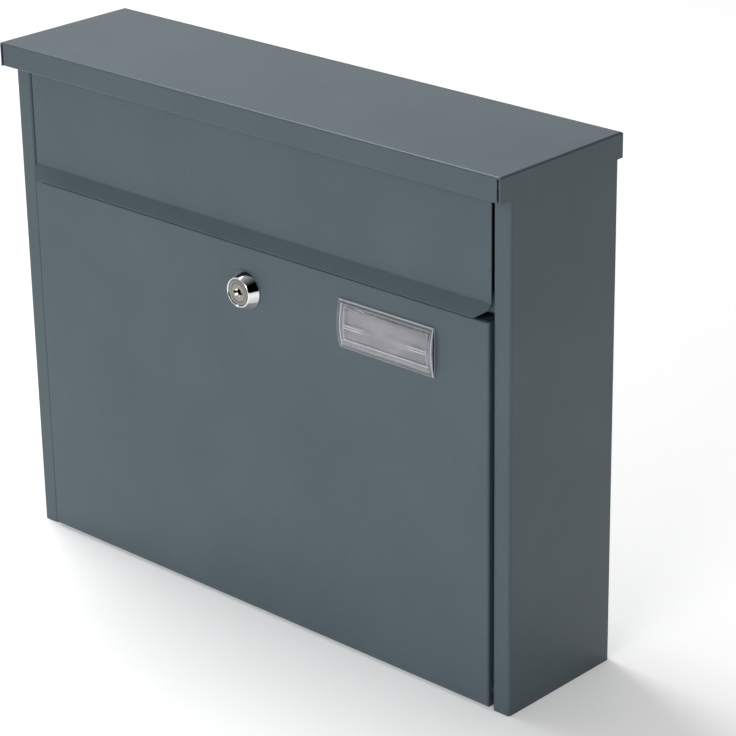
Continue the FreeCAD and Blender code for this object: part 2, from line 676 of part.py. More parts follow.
def door_washers():
    """Nylon spacers on the pins, between the jambs and the door."""
    x0 = -JAMB_X
    washer = rod_x(WASHER_R, x0, x0 + WASHER_THICKNESS, PIN_Y, PIN_Z)
    washer = washer.cut(rod_x(PIN_R, x0, x0 + WASHER_THICKNESS, PIN_Y, PIN_Z))
    return Part.makeCompound([washer, mirrored(washer)])


# ---------------------------------------------------------------- lock
def on_lock(shape):
    """The shape moved from the middle of the door to the lock's axis."""
    return shape.translated(Vector(LOCK_X, 0, 0))


def lock_collar():
    """Chromed cone round the lock's face."""
    rim_y = DOOR_Y - COLLAR_RIM
    cone_length = COLLAR_PROUD - COLLAR_RIM
    cone = Part.makeCone(
        COLLAR_FACE_R, COLLAR_FOOT_R, cone_length, Vector(0, LOCK_FACE_Y, LOCK_Z), Y
    )
    collar = cone.fuse(rod_y(COLLAR_FOOT_R, rim_y, DOOR_Y)).removeSplitter()
    collar = collar.cut(rod_y(BARREL_R + LOCK_FIT, LOCK_FACE_Y, DOOR_Y))
    head_y = DOOR_Y - HEAD_THICKNESS - LOCK_FIT
    collar = collar.cut(rod_y(HEAD_R + LOCK_FIT, head_y, DOOR_Y))
    face_edges = [e for e in collar.Edges if abs(e.BoundBox.YMax - LOCK_FACE_Y) < 1e-6]
    return collar.makeFillet(COLLAR_EDGE, face_edges)


def lock_housing():
    """Barrel with a head inside the collar, two flats and a lug that limits the cam's turn."""
    face_y = LOCK_FACE_Y + COLLAR_LIP
    nose = rod_y(BARREL_R, face_y, DOOR_Y)
    head = rod_y(HEAD_R, DOOR_Y - HEAD_THICKNESS, DOOR_Y)
    barrel = barrel_profile(BARREL_R, BARREL_ACROSS, DOOR_Y, BARREL_END_Y)
    housing = nose.fuse([head, barrel]).removeSplitter()
    bore = rod_y(PLUG_R + PLUG_RUNNING, face_y, BARREL_END_Y)
    lug_end = STOP_PLATE_END_Y - PLUG_SHOULDER
    lug_r = STOP_PLATE_R + LOCK_FIT
    lug_start = STOP_EAR_ANGLE + CAM_TURN + ear_margin()
    lug = ring_sector(lug_r, BARREL_R, BARREL_END_Y, lug_end, lug_start, STOP_LUG_ANGLE)
    return housing.cut(bore).fuse(lug).removeSplitter()


def ear_margin():
    """Spare angle at each end of the stop ear's turn."""
    return (360.0 - STOP_LUG_ANGLE - STOP_EAR_ANGLE - CAM_TURN) / 2


def star_washer():
    """Toothed washer behind the door."""
    end_y = DOOR_IN_Y + STAR_WASHER
    washer = rod_y(STAR_WASHER_R, DOOR_IN_Y, end_y)
    washer = washer.cut(rod_y(BARREL_R + LOCK_FIT, DOOR_IN_Y, end_y))
    for i in range(STAR_TEETH):
        angle = 2 * math.pi * i / STAR_TEETH
        x, z = STAR_WASHER_R * math.cos(angle), LOCK_Z + STAR_WASHER_R * math.sin(angle)
        washer = washer.cut(rod_y(STAR_WASHER, DOOR_IN_Y, end_y, x, z))
    return washer


def lock_nut():
    y0 = DOOR_IN_Y + STAR_WASHER
    y1 = y0 + NUT_THICKNESS
    nut = hexagon_prism(NUT_ACROSS, y0, y1)
    chamfer_r = NUT_ACROSS / 2 + NUT_CHAMFER
    crown = Part.makeCone(
        chamfer_r + NUT_THICKNESS, chamfer_r, NUT_THICKNESS, Vector(0, y0, LOCK_Z), Y
    )
    return nut.common(crown).cut(rod_y(BARREL_R + LOCK_FIT / 2, y0, y1))


def wafer_places():
    """Front faces of the wafers inside the plug."""
    first = LOCK_FACE_Y + COLLAR_LIP + WAFER_FIRST
    return [first + i * WAFER_PITCH for i in range(WAFER_COUNT)]


def lock_plug():
    """Turning core with its keyway, wafer slots, squared tang and screw bore."""
    face_y = LOCK_FACE_Y + COLLAR_LIP
    core = rod_y(PLUG_R, face_y, PLUG_SHOULDER_Y)
    half = TANG_ACROSS / 2
    tang = box(-half, half, PLUG_SHOULDER_Y, CAM_END_Y, LOCK_Z - half, LOCK_Z + half)
    plug = core.fuse(tang)
    keyway = box(
        -KEYWAY_WIDTH / 2,
        KEYWAY_WIDTH / 2,
        face_y,
        face_y + KEYWAY_DEPTH,
        LOCK_Z - KEYWAY_GAP / 2,
        LOCK_Z + KEYWAY_GAP / 2,
    )
    throat = Part.makeCone(
        KEYWAY_THROAT_R, KEYWAY_GAP / 2, KEYWAY_THROAT, Vector(0, face_y, LOCK_Z), Y
    )
    plug = plug.cut(keyway).cut(throat)
    for y in wafer_places():
        plug = plug.cut(wafer_block(y, LOCK_FIT, WAFER_HEIGHT))
    bore_y = CAM_END_Y - CAM_SCREW_LENGTH
    return plug.cut(rod_y(CAM_SCREW_R, bore_y, CAM_END_Y))


def wafer_block(y, grow, height):
    half = WAFER_WIDTH / 2 + grow
    rise = height / 2 + grow
    y1 = y + WAFER_THICKNESS + grow
    return box(-rise, rise, y - grow, y1, LOCK_Z - half, LOCK_Z + half)


def lock_wafers():
    """Flat tumblers that the key draws level, each with a window for it."""
    wafers = []
    for y in wafer_places():
        wafer = wafer_block(y, 0, WAFER_HEIGHT).common(rod_y(PLUG_R, y, y + WAFER_THICKNESS))
        window = box(
            -KEYWAY_WIDTH / 2,
            KEYWAY_WIDTH / 2,
            y,
            y + WAFER_THICKNESS,
            LOCK_Z - WAFER_WINDOW / 2,
            LOCK_Z + WAFER_WINDOW / 2,
        )
        wafers.append(wafer.cut(window))
    return Part.makeCompound(wafers)


def tang_hole(y0, y1):
    half = TANG_ACROSS / 2 + LOCK_FIT / 2
    return box(-half, half, y0, y1, LOCK_Z - half, LOCK_Z + half)


def stop_plate():
    """Disc with one ear that meets the housing's lug after a quarter turn."""
    y0, y1 = PLUG_SHOULDER_Y, STOP_PLATE_END_Y
    ear = ring_sector(PLUG_R / 2, STOP_EAR_R, y0, y1, 0, STOP_EAR_ANGLE)
    plate = rod_y(STOP_PLATE_R, y0, y1).fuse(ear).removeSplitter()
    return plate.cut(tang_hole(y0, y1))


def lock_cam():
    """Flat cam, pointing along +X while the lock is open."""
    y0, y1 = STOP_PLATE_END_Y, CAM_END_Y
    half_tip = CAM_TIP_WIDTH / 2
    outline = [(0, -CAM_HUB_R), (CAM_LENGTH, -half_tip), (CAM_LENGTH, half_tip), (0, CAM_HUB_R)]
    points = [Vector(u, y0, LOCK_Z + v) for u, v in outline]
    arm = Part.Face(Part.makePolygon(points + [points[0]])).extrude(Y * CAM_THICKNESS)
    tips = [e for e in arm.Edges if e.BoundBox.XMin > CAM_LENGTH - 1e-6 and e.BoundBox.YLength > 1]
    arm = arm.makeFillet(CAM_TIP_ROUND, tips)
    cam = arm.fuse(rod_y(CAM_HUB_R, y0, y1)).removeSplitter()
    return cam.cut(tang_hole(y0, y1))


def spring_washer():
    """Split washer under the cam screw."""
    y0, y1 = CAM_END_Y, SPRING_WASHER_END_Y
    ring = rod_y(SPRING_WASHER_R, y0, y1).cut(rod_y(CAM_SCREW_R + LOCK_FIT, y0, y1))
    split = box(0, SPRING_WASHER_R, y0, y1, LOCK_Z, LOCK_Z + SPRING_WASHER_SPLIT)
    return ring.cut(split)


def cam_screw():
    y0 = CAM_END_Y - CAM_SCREW_LENGTH
    y1 = SPRING_WASHER_END_Y
    head_end = y1 + CAM_SCREW_HEAD
    head = rod_y(CAM_SCREW_HEAD_R, y1, head_end)
    rim = edges_on(head, lambda p: abs(p.y - head_end) < 1e-6)
    head = head.makeFillet(CAM_SCREW_ROUND, rim)
    screw = rod_y(CAM_SCREW_R, y0, y1).fuse(head).removeSplitter()
    recess_y = head_end - CROSS_DEPTH
    u, v = CROSS_LENGTH / 2, CROSS_WIDTH / 2
    level = box(-u, u, recess_y, head_end, LOCK_Z - v, LOCK_Z + v)
    upright = box(-v, v, recess_y, head_end, LOCK_Z - u, LOCK_Z + u)
    return screw.cut(level).cut(upright)


# ---------------------------------------------------------------- name plate
def peg_places():
    reach = PLATE_WIDTH / 2 - PEG_MARGIN
    return [PLATE_X - reach, PLATE_X + reach]


def plate_block(margin, y0, y1):
    """A block on the name plate's outline, taken in by the margin."""
    half_width = PLATE_WIDTH / 2 - margin
    half_height = PLATE_HEIGHT / 2 - margin
    return box(
        PLATE_X - half_width,
        PLATE_X + half_width,
        y0,
        y1,
        PLATE_Z - half_height,
        PLATE_Z + half_height,
    )


def plate_bulge(front_y):
    """A prism on the name plate's outline whose front is an arc, front_y at its top and bottom."""
    x0 = PLATE_X - PLATE_WIDTH / 2
    low, high = PLATE_Z - PLATE_HEIGHT / 2, PLATE_Z + PLATE_HEIGHT / 2
    back = [Vector(x0, PLATE_BACK_Y, z) for z in (high, low)]
    front = [Vector(x0, front_y, z) for z in (low, high)]
    crest = Vector(x0, front_y - PLATE_BULGE, PLATE_Z)
    outline = [
        Part.makeLine(*back),
        Part.makeLine(back[1], front[0]),
        Part.Arc(front[0], crest, front[1]).toShape(),
        Part.makeLine(front[1], back[0]),
    ]
    return Part.Face(Part.Wire(outline)).extrude(Vector(PLATE_WIDTH, 0, 0))


def nameplate_cover():
    """Clear cover, bulged at mid height, with a raised window, two guide ribs and a pocket."""
    edge_y = DOOR_Y - PLATE_EDGE
    crest_y = edge_y - PLATE_BULGE - WINDOW_STEP
    cover = plate_bulge(edge_y)
    cover = cover.makeChamfer(PLATE_BEVEL, edges_on(cover, lambda p: p.y < PLATE_BACK_Y - 1e-6))
    window = plate_bulge(edge_y - WINDOW_STEP).common(plate_block(WINDOW_MARGIN, crest_y, edge_y))
    cover = cover.fuse(window)
    for side in (-1, 1):
        outer_x = PLATE_X + side * (PLATE_WIDTH / 2 - WINDOW_MARGIN)
        x0, x1 = sorted((outer_x, outer_x - side * RIB_LENGTH))
        z0, z1 = PLATE_Z - RIB_HEIGHT / 2, PLATE_Z + RIB_HEIGHT / 2
        cover = cover.fuse(box(x0, x1, crest_y - RIB_STEP, edge_y, z0, z1))
    pocket = plate_block(PLATE_RIM, PLATE_BACK_Y - CARD_SPACE, PLATE_BACK_Y)
    return cover.removeSplitter().cut(pocket)


def nameplate_base():
    """Backing under the cover, with two pegs through the door."""
    base = plate_block(0, PLATE_BACK_Y, DOOR_Y)
    pegs = [rod_y(PEG_R, DOOR_Y, DOOR_Y + PEG_LENGTH, x, PLATE_Z) for x in peg_places()]
    return base.fuse(pegs).removeSplitter()


def name_card():
    return plate_block(PLATE_RIM + CARD_MARGIN, PLATE_BACK_Y - CARD_THICKNESS, PLATE_BACK_Y)


def nameplate_clips():
    """Push-on clips on the pegs, behind the door."""
    y1 = DOOR_IN_Y + CLIP_THICKNESS
    clips = []
    for x in peg_places():
        clip = rod_y(CLIP_R, DOOR_IN_Y, y1, x, PLATE_Z)
        clips.append(clip.cut(rod_y(PEG_R, DOOR_IN_Y, y1, x, PLATE_Z)))
    return Part.makeCompound(clips)


# ---------------------------------------------------------------- assembly
def build_parts():
    left_side = side_panel()
    left_pin = door_pin()
    flap_buffer = RAIL_GAP - BUFFER_TOUCH
    door_buffer = KEEPER_GAP - BUFFER_TOUCH
    flap_buffer_z = RAIL_TOP_Z - RAIL_HEIGHT / 2
    door_buffer_z = KEEPER_FOOT_Z + BUFFER_R
    return {
        "side_panel_left": left_side,
        "side_panel_right": mirrored(left_side),
        "back_panel": back_panel(),
        "floor_tray": floor_tray(),
        "roof_cap": roof_cap(),
        "keeper_rail": keeper_rail(),
        "flap_buffers": rail_buffers(RAIL_Y, flap_buffer, flap_buffer_z),
        "door_buffers": rail_buffers(KEEPER_Y, door_buffer, door_buffer_z),
        "letter_flap": flap(),
        "flap_hinge_rod": flap_rod(),
        "flap_rod_caps": flap_rod_caps(),
        "door_panel": door_panel(),
        "door_pin_left": left_pin,
        "door_pin_right": mirrored(left_pin),
        "door_pin_washers": door_washers(),
        "lock_collar": on_lock(lock_collar()),
        "lock_housing": on_lock(lock_housing()),
        "lock_star_washer": on_lock(star_washer()),
        "lock_nut": on_lock(lock_nut()),
        "lock_plug": on_lock(lock_plug()),
        "lock_wafers": on_lock(lock_wafers()),
        "cam_stop_plate": on_lock(stop_plate()),
        "lock_cam": on_lock(lock_cam()),
        "cam_spring_washer": on_lock(spring_washer()),
        "cam_screw": on_lock(cam_screw()),
        "nameplate_cover": nameplate_cover(),
        "nameplate_base": nameplate_base(),
        "name_card": name_card(),
        "nameplate_clips": nameplate_clips(),
    }


def main():
    os.makedirs("parts", exist_ok=True)
    for name, shape in build_parts().items():
        if not shape.isValid() or any(solid.Volume <= 0 for solid in shape.Solids):
            raise ValueError(name + " is not a valid solid")
        shape.exportStep("parts/" + name + ".step")
        print(name, len(shape.Solids), round(shape.Volume, 1))


main()
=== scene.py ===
"""Looks of a wall mounted mailbox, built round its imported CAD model. Metres, +X right, +Z up.

The folded sheets and small hardware keep their CAD meshes and get their finishes here. The lock's
turned parts, the clear name plate, its card and the rubber buffers are worked out as surfaces of two
parameters, and stand for their CAD nodes.
"""

import math

import bmesh
import bpy
import numpy as np
from mathutils import Matrix, Vector


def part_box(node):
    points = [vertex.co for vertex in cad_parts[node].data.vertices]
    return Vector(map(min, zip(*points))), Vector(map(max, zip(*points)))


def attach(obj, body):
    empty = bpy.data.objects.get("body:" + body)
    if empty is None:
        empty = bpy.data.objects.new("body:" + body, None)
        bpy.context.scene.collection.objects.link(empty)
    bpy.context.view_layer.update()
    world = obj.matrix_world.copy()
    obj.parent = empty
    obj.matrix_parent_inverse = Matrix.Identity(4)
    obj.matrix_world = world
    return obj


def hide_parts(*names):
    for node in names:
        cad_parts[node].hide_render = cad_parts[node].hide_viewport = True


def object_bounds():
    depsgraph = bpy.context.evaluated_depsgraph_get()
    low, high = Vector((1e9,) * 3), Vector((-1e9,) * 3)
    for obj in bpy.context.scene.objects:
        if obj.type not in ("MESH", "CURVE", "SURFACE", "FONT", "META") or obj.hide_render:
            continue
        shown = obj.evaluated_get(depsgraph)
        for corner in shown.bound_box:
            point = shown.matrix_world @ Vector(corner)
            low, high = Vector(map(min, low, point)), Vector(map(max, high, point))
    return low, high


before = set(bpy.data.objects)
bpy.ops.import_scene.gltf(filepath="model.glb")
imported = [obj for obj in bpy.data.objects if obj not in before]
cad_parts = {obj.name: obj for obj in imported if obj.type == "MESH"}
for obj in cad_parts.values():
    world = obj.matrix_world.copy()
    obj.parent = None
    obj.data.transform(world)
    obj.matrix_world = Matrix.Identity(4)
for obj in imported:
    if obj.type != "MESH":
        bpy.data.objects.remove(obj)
CAD_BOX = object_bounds()
MM = 0.001

# ---------------------------------------------------------------- camera
CAMERA_PLACE = (0.9860, -1.0446, 0.5660)
CAMERA_AZIMUTH = math.radians(43.175)
CAMERA_ELEVATION = math.radians(22.584)
CAMERA_ROLL = math.radians(-0.930)
CAMERA_LENS = 136.38
CAMERA_SENSOR = 36.0
CAMERA_REACH = (0.05, 30.0)


def make_camera():
    """A long lens looking down on the front right corner, with a slight roll."""
    level = math.cos(CAMERA_ELEVATION)
    backward = Vector((
        math.sin(CAMERA_AZIMUTH) * level,
        -math.cos(CAMERA_AZIMUTH) * level,
        math.sin(CAMERA_ELEVATION),
    ))
    right = Vector((0, 0, 1)).cross(backward).normalized()
    up = backward.cross(right)
    turn = Matrix((right, up, backward)).transposed()
    turn = turn @ Matrix.Rotation(CAMERA_ROLL, 3, "Z")
    data = bpy.data.cameras.new("camera")
    data.lens = CAMERA_LENS
    data.sensor_width = CAMERA_SENSOR
    data.clip_start, data.clip_end = CAMERA_REACH
    camera = bpy.data.objects.new("camera", data)
    camera.matrix_world = Matrix.Translation(CAMERA_PLACE) @ turn.to_4x4()
    bpy.context.scene.collection.objects.link(camera)
    bpy.context.scene.camera = camera


# ---------------------------------------------------------------- light and floor
SKY_MEAN = 0.38
SKY_LEAN = (-0.42, 0.14, -0.08)  # how much brighter the sky gets towards each axis
FLOOR_WHITE = (0.9, 0.9, 0.9, 1)
FLOOR_ROUGHNESS = 0.6
FLOOR_GLOW = 0.26
FLOOR_REACH = 6.0
FLOOR_GAP = 0.1 * MM  # under the object's foot
# name, place, side length, watts
LAMPS = (
    ("key_left", (-1.25, 0.18, 2.20), 0.9, 36.0),
    ("card_left", (-1.35, -0.50, 2.05), 0.5, 4.0),
    ("fill_front", (0.55, -2.20, 0.95), 1.2, 19.0),
)


def make_lamp(name, place, size, power):
    """A square area lamp aimed at the object."""
    data = bpy.data.lights.new(name, "AREA")
    data.shape = "SQUARE"
    data.size = size
    data.energy = power
    lamp = bpy.data.objects.new(name, data)
    aim = (-Vector(place)).to_track_quat("-Z", "Y")
    lamp.matrix_world = Matrix.Translation(place) @ aim.to_matrix().to_4x4()
    bpy.context.scene.collection.objects.link(lamp)


def make_sky():
    """A white room, brighter on one side: a mean strength plus the direction's product with the lean."""
    world = bpy.data.worlds.new("studio")
    bpy.context.scene.world = world
    world.use_nodes = True
    tree = world.node_tree
    background = tree.nodes["Background"]
    background.inputs["Color"].default_value = (1, 1, 1, 1)
    towards = Signal(tree, tree.nodes.new("ShaderNodeTexCoord").outputs["Generated"])
    lean = towards.vector("DOT_PRODUCT", SKY_LEAN, output=1)
    feed(background, "Strength", (lean + SKY_MEAN).maths("MAXIMUM", 0.0))


def make_floor():
    """A pale sheet under the object, lit a little from within like a light table."""
    low = CAD_BOX[0].z - FLOOR_GAP
    reach = FLOOR_REACH
    corners = [(-reach, -reach, low), (reach, -reach, low), (reach, reach, low), (-reach, reach, low)]
    mesh = bpy.data.meshes.new("floor")
    mesh.from_pydata(corners, [], [(0, 1, 2, 3)])
    floor = bpy.data.objects.new("floor", mesh)
    bpy.context.scene.collection.objects.link(floor)
    material, shader, _ = new_finish("floor_paper")
    constants(shader, Base_Color=FLOOR_WHITE, Roughness=FLOOR_ROUGHNESS)
    constants(shader, Emission_Color=(1, 1, 1, 1), Emission_Strength=FLOOR_GLOW)
    mesh.materials.append(material)


# ---------------------------------------------------------------- shader sums
class Signal:
    """One shader socket. An operator adds its Math node, and node() adds any other node."""

    def __init__(self, tree, socket):
        self.tree = tree
        self.socket = socket

    def node(self, kind, settings, sockets, output=0):
        """A new node: first its settings, then the values or links of its sockets."""
        made = self.tree.nodes.new(kind)
        for name, value in settings.items():
            setattr(made, name, value)
        for key, value in sockets.items():
            if isinstance(value, Signal):
                self.tree.links.new(value.socket, made.inputs[key])
            else:
                made.inputs[key].default_value = value
        return Signal(self.tree, made.outputs[output])

    def maths(self, operation, other):
        return self.node("ShaderNodeMath", {"operation": operation}, {0: self, 1: other})

    def vector(self, operation, other=(0, 0, 0), output=0):
        return self.node("ShaderNodeVectorMath", {"operation": operation}, {0: self, 1: other}, output)

    def __add__(self, other):
        return self.maths("ADD", other)

    def __sub__(self, other):
        return self.maths("SUBTRACT", other)

    def __rsub__(self, other):
        return self.node("ShaderNodeMath", {"operation": "SUBTRACT"}, {0: other, 1: self})

    def __mul__(self, other):
        return self.maths("MULTIPLY", other)

    __radd__ = __add__
    __rmul__ = __mul__


def new_finish(name):
    """A material, its shader and the object coordinates that its pattern reads."""
    material = bpy.data.materials.new(name)
    material.use_nodes = True
    tree = material.node_tree
    place = Signal(tree, tree.nodes.new("ShaderNodeTexCoord").outputs["Object"])
    return material, tree.nodes["Principled BSDF"], place


def feed(shader, name, signal):
    signal.tree.links.new(signal.socket, shader.inputs[name])


def constants(shader, **values):
    """Sets what is the same all over. An underscore in a name stands for a space."""
    for name, value in values.items():
        shader.inputs[name.replace("_", " ")].default_value = value


def noise(place, size, detail=2.0, roughness=0.5):
    """Cloudy noise from 0 to 1, whose blobs are about as wide as size."""
    sockets = {"Vector": place, "Scale": 1 / size, "Detail": detail, "Roughness": roughness}
    return place.node("ShaderNodeTexNoise", {}, sockets)


def grains(place, size):
    """Cells about as wide as size, each with its own level from 0 to 1."""
    cells = place.node("ShaderNodeTexVoronoi", {}, {"Vector": place, "Scale": 1 / size}, output=1)
    return cells.node("ShaderNodeSeparateColor", {}, {0: cells})


def stretched(place, x, y, z):
    """Coordinates that shrink along each axis by its own factor, so that patterns lengthen."""
    return place.node("ShaderNodeMapping", {}, {"Vector": place, "Scale": (x, y, z)})


def graded(signal, low, high):
    """0 below low, 1 above high, and a smooth step between."""
    sockets = {"Value": signal, "From Min": low, "From Max": high}
    return signal.node("ShaderNodeMapRange", {"interpolation_type": "SMOOTHSTEP"}, sockets)


def mixed(mask, first, second):
    """Colour that goes from the first to the second with the mask."""
    return mask.node("ShaderNodeMix", {"data_type": "RGBA"}, {0: mask, 6: first, 7: second}, output=2)


def tinted(mask, dark, light):
    return mixed(mask, (*dark, 1), (*light, 1))


def bumped(height, depth, normal=None):
    """Normal of a surface raised by depth metres where height is 1."""
    sockets = {"Strength": 1.0, "Distance": depth, "Height": height}
    if normal is not None:
        sockets["Normal"] = normal
    return height.node("ShaderNodeBump", {}, sockets)


# ---------------------------------------------------------------- finishes
def powder_coat():
    """Slate powder coat: cloudy tone, fine speckle, orange peel and dust-fine grain."""
    material, shader, place = new_finish("slate_powder_coat")
    clouds = noise(place, size=60 * MM, detail=3)
    speckle = noise(place, size=0.9 * MM, detail=3, roughness=0.7)
    tone = graded(clouds * 0.45 + speckle * 0.55, low=0.3, high=0.7)
    feed(shader, "Base Color", tinted(tone, dark=(0.052, 0.084, 0.101), light=(0.069, 0.105, 0.125)))
    scuffs = noise(stretched(place, 1, 1, 0.25), size=9 * MM, detail=4, roughness=0.6)
    feed(shader, "Roughness", speckle * 0.14 + graded(scuffs, low=0.55, high=0.8) * 0.05 + 0.33)
    peel = bumped(noise(place, size=1.7 * MM, detail=1), depth=0.035 * MM)
    feed(shader, "Normal", bumped(noise(place, size=0.7 * MM), depth=0.035 * MM, normal=peel))
    constants(shader, IOR=1.5)
    return material


def chrome():
    """Polished chrome with faint polishing marks."""
    material, shader, place = new_finish("bright_chrome")
    marks = noise(stretched(place, 1, 0.2, 1), size=0.5 * MM, detail=3, roughness=0.7)
    feed(shader, "Roughness", graded(marks, low=0.45, high=0.8) * 0.08 + 0.05)
    tone = noise(place, size=4 * MM)
    feed(shader, "Base Color", tinted(tone, dark=(0.84, 0.85, 0.87), light=(0.92, 0.92, 0.93)))
    constants(shader, Metallic=1.0)
    return material


KEY_POLISH_AND_HIGHLIGHT = (2.2 * MM, 2.8 * MM)  # radius at which the key's polish and the painted highlight start to fade, and are gone
TURNED_RING = 0.55 * MM  # from one tool mark to the next


def satin_nickel():
    """Blasted nickel: fine pits, turned rings, slightly warm where it has toned, polished by the key
    near its axis, where its colour is also painted almost white as a painted highlight.

    The rings are a sine of the radius from the lock's axis.
    """
    material, shader, place = new_finish("satin_nickel")
    radius = place.vector("SUBTRACT", middle("lock_collar")).vector("MULTIPLY", (1, 0, 1))
    radius = radius.vector("LENGTH", output=1)
    polish_and_highlight = 1 - graded(radius, *KEY_POLISH_AND_HIGHLIGHT)
    rings = (radius * (2 * math.pi / TURNED_RING)).maths("SINE", 0.0)
    pits = noise(place, size=0.28 * MM, detail=3, roughness=0.7)
    toning = noise(place, size=5 * MM)
    tone = toning * 0.4 + pits * 0.3 + rings * 0.12 + 0.15
    satin = tinted(tone, dark=(0.20, 0.195, 0.175), light=(0.42, 0.41, 0.375))
    # painted highlight: the colour near the lock's axis is painted almost white; the key's polish there
    # is the lower roughness and the smoother bump
    feed(shader, "Base Color", mixed(polish_and_highlight, satin, (0.86, 0.86, 0.84, 1)))
    feed(shader, "Roughness", (pits * 0.2 + 0.24) * (1 - polish_and_highlight * 0.7))
    feed(shader, "Normal", bumped(pits * (1 - polish_and_highlight), depth=0.03 * MM))
    constants(shader, Metallic=1.0)
    return material


def zinc():
    """Bright zinc with dull and shiny grains and a cloudy bloom."""
    material, shader, place = new_finish("bright_zinc")
    spangle = grains(place, size=0.9 * MM)
    bloom = noise(place, size=6 * MM, detail=3)
    tone = spangle * 0.5 + bloom * 0.5
    feed(shader, "Base Color", tinted(tone, dark=(0.44, 0.45, 0.47), light=(0.66, 0.67, 0.68)))
    feed(shader, "Roughness", bloom * 0.25 + spangle * 0.08 + 0.22)
    feed(shader, "Normal", bumped(noise(place, size=0.4 * MM), depth=0.01 * MM))
    constants(shader, Metallic=1.0)
    return material


def brass():
    """Stamped brass with a drawn grain and darker tarnish."""
    material, shader, place = new_finish("stamped_brass")
    grain = noise(stretched(place, 0.1, 1, 1), size=0.3 * MM)
    tarnish = graded(noise(place, size=2.5 * MM, detail=3), low=0.45, high=0.75)
    feed(shader, "Base Color", tinted(tarnish, dark=(0.80, 0.60, 0.28), light=(0.52, 0.36, 0.15)))
    feed(shader, "Roughness", grain * 0.2 + tarnish * 0.15 + 0.2)
    feed(shader, "Normal", bumped(grain, depth=0.01 * MM))
    constants(shader, Metallic=1.0)
    return material


def rubber():
    """Matt black rubber with a dusty bloom."""
    material, shader, place = new_finish("buffer_rubber")
    bloom = noise(place, size=2 * MM, detail=4, roughness=0.6)
    dust = graded(bloom, low=0.4, high=0.75)
    feed(shader, "Base Color", tinted(dust, dark=(0.014, 0.014, 0.015), light=(0.04, 0.04, 0.041)))
    feed(shader, "Roughness", bloom * 0.2 + 0.65)
    feed(shader, "Normal", bumped(noise(place, size=0.25 * MM, detail=3), depth=0.02 * MM))
    return material


def nylon():
    """Black nylon, waxy, with a flow pattern."""
    material, shader, place = new_finish("black_nylon")
    flow = noise(stretched(place, 1, 0.4, 0.4), size=1.2 * MM)
    feed(shader, "Base Color", tinted(flow, dark=(0.020, 0.021, 0.023), light=(0.036, 0.038, 0.041)))
    feed(shader, "Roughness", flow * 0.15 + 0.4)
    feed(shader, "Normal", bumped(noise(place, size=0.3 * MM), depth=0.008 * MM))
    return material


# UV map of painted light on the clear cover: painted highlights and painted dark reflections along its
# edges
PAINTED_LIGHT_MAP = "painted_light"


def clear_plastic():
    """Clear moulded plastic with slow waves and painted light along its edges from its painted light
    map.

    The map's first value is how strongly a point is painted over, and the second is how light that
    painted light is, from painted dark reflection to painted highlight.
    """
    material, shader, place = new_finish("clear_moulding")
    haze = graded(noise(place, size=6 * MM, detail=3), low=0.55, high=0.85)
    waves = bumped(noise(place, size=5 * MM, detail=1), depth=0.02 * MM)
    feed(shader, "Roughness", haze * 0.06 + 0.02)
    feed(shader, "Normal", waves)
    constants(shader, Base_Color=(0.97, 0.98, 1.0, 1.0), Transmission_Weight=1.0, IOR=1.49)
    cloud = noise(place, size=0.6 * MM, detail=3, roughness=0.7)
    painted_light = place.node("ShaderNodeUVMap", {"uv_map": PAINTED_LIGHT_MAP}, {})
    amount, tone = (painted_light.node("ShaderNodeSeparateXYZ", {}, {0: painted_light}, output=k) for k in (0, 1))
    # painted light: a light tint for painted highlights, a dark tint for painted dark reflections
    colour = tinted(tone * (cloud * 0.2 + 0.8), dark=(0.02, 0.024, 0.028), light=(0.90, 0.95, 0.99))
    sockets = {"Base Color": colour, "Roughness": cloud * 0.2 + 0.15, "Normal": waves}
    painted_light_bsdf = place.node("ShaderNodeBsdfPrincipled", {}, sockets)
    clear = Signal(place.tree, shader.outputs[0])
    sockets = {0: amount * (cloud * 0.3 + 0.85), 1: clear, 2: painted_light_bsdf}
    surface = place.node("ShaderNodeMixShader", {}, sockets)
    feed(place.tree.nodes["Material Output"], "Surface", surface)
    return material


def grey_plastic():
    """Grey moulding with a spark-eroded texture."""
    material, shader, place = new_finish("grey_moulding")
    spark = noise(place, size=0.35 * MM, detail=3, roughness=0.65)
    feed(shader, "Base Color", tinted(spark, dark=(0.50, 0.53, 0.55), light=(0.62, 0.65, 0.67)))
    feed(shader, "Roughness", spark * 0.25 + 0.4)
    feed(shader, "Normal", bumped(spark, depth=0.02 * MM))
    return material


def foil_card():
    """Silvery card: a drawn foil grain along its length, over a soft lilac shade."""
    material, shader, place = new_finish("silvery_card")
    grain = noise(stretched(place, 0.03, 1, 1), size=0.5 * MM, detail=3, roughness=0.6)
    sheen = noise(stretched(place, 0.5, 1, 1), size=14 * MM)
    tone = graded(sheen, low=0.35, high=0.65) * 0.6 + grain * 0.4
    feed(shader, "Base Color", tinted(tone, dark=(0.24, 0.235, 0.275), light=(0.46, 0.445, 0.47)))
    feed(shader, "Roughness", grain * 0.2 + 0.3)
    feed(shader, "Normal", bumped(grain, depth=0.01 * MM))
    constants(shader, Metallic=0.5)
    return material


# ---------------------------------------------------------------- surfaces
SMOOTH_ANGLE = math.radians(32)
MERGE_DISTANCE = 0.0005 * MM
TINY = 1e-6


def shown(name, mesh):
    """The mesh as an object: coinciding points merged, faces outwards, smooth except at corners."""
    shell = bmesh.new()
    shell.from_mesh(mesh)
    bmesh.ops.remove_doubles(shell, verts=shell.verts, dist=MERGE_DISTANCE)
    bmesh.ops.recalc_face_normals(shell, faces=shell.faces)
    shell.to_mesh(mesh)
    shell.free()
    mesh.shade_smooth()
    mesh.set_sharp_from_angle(angle=SMOOTH_ANGLE)
    piece = bpy.data.objects.new(name, mesh)
    bpy.context.scene.collection.objects.link(piece)
    return piece


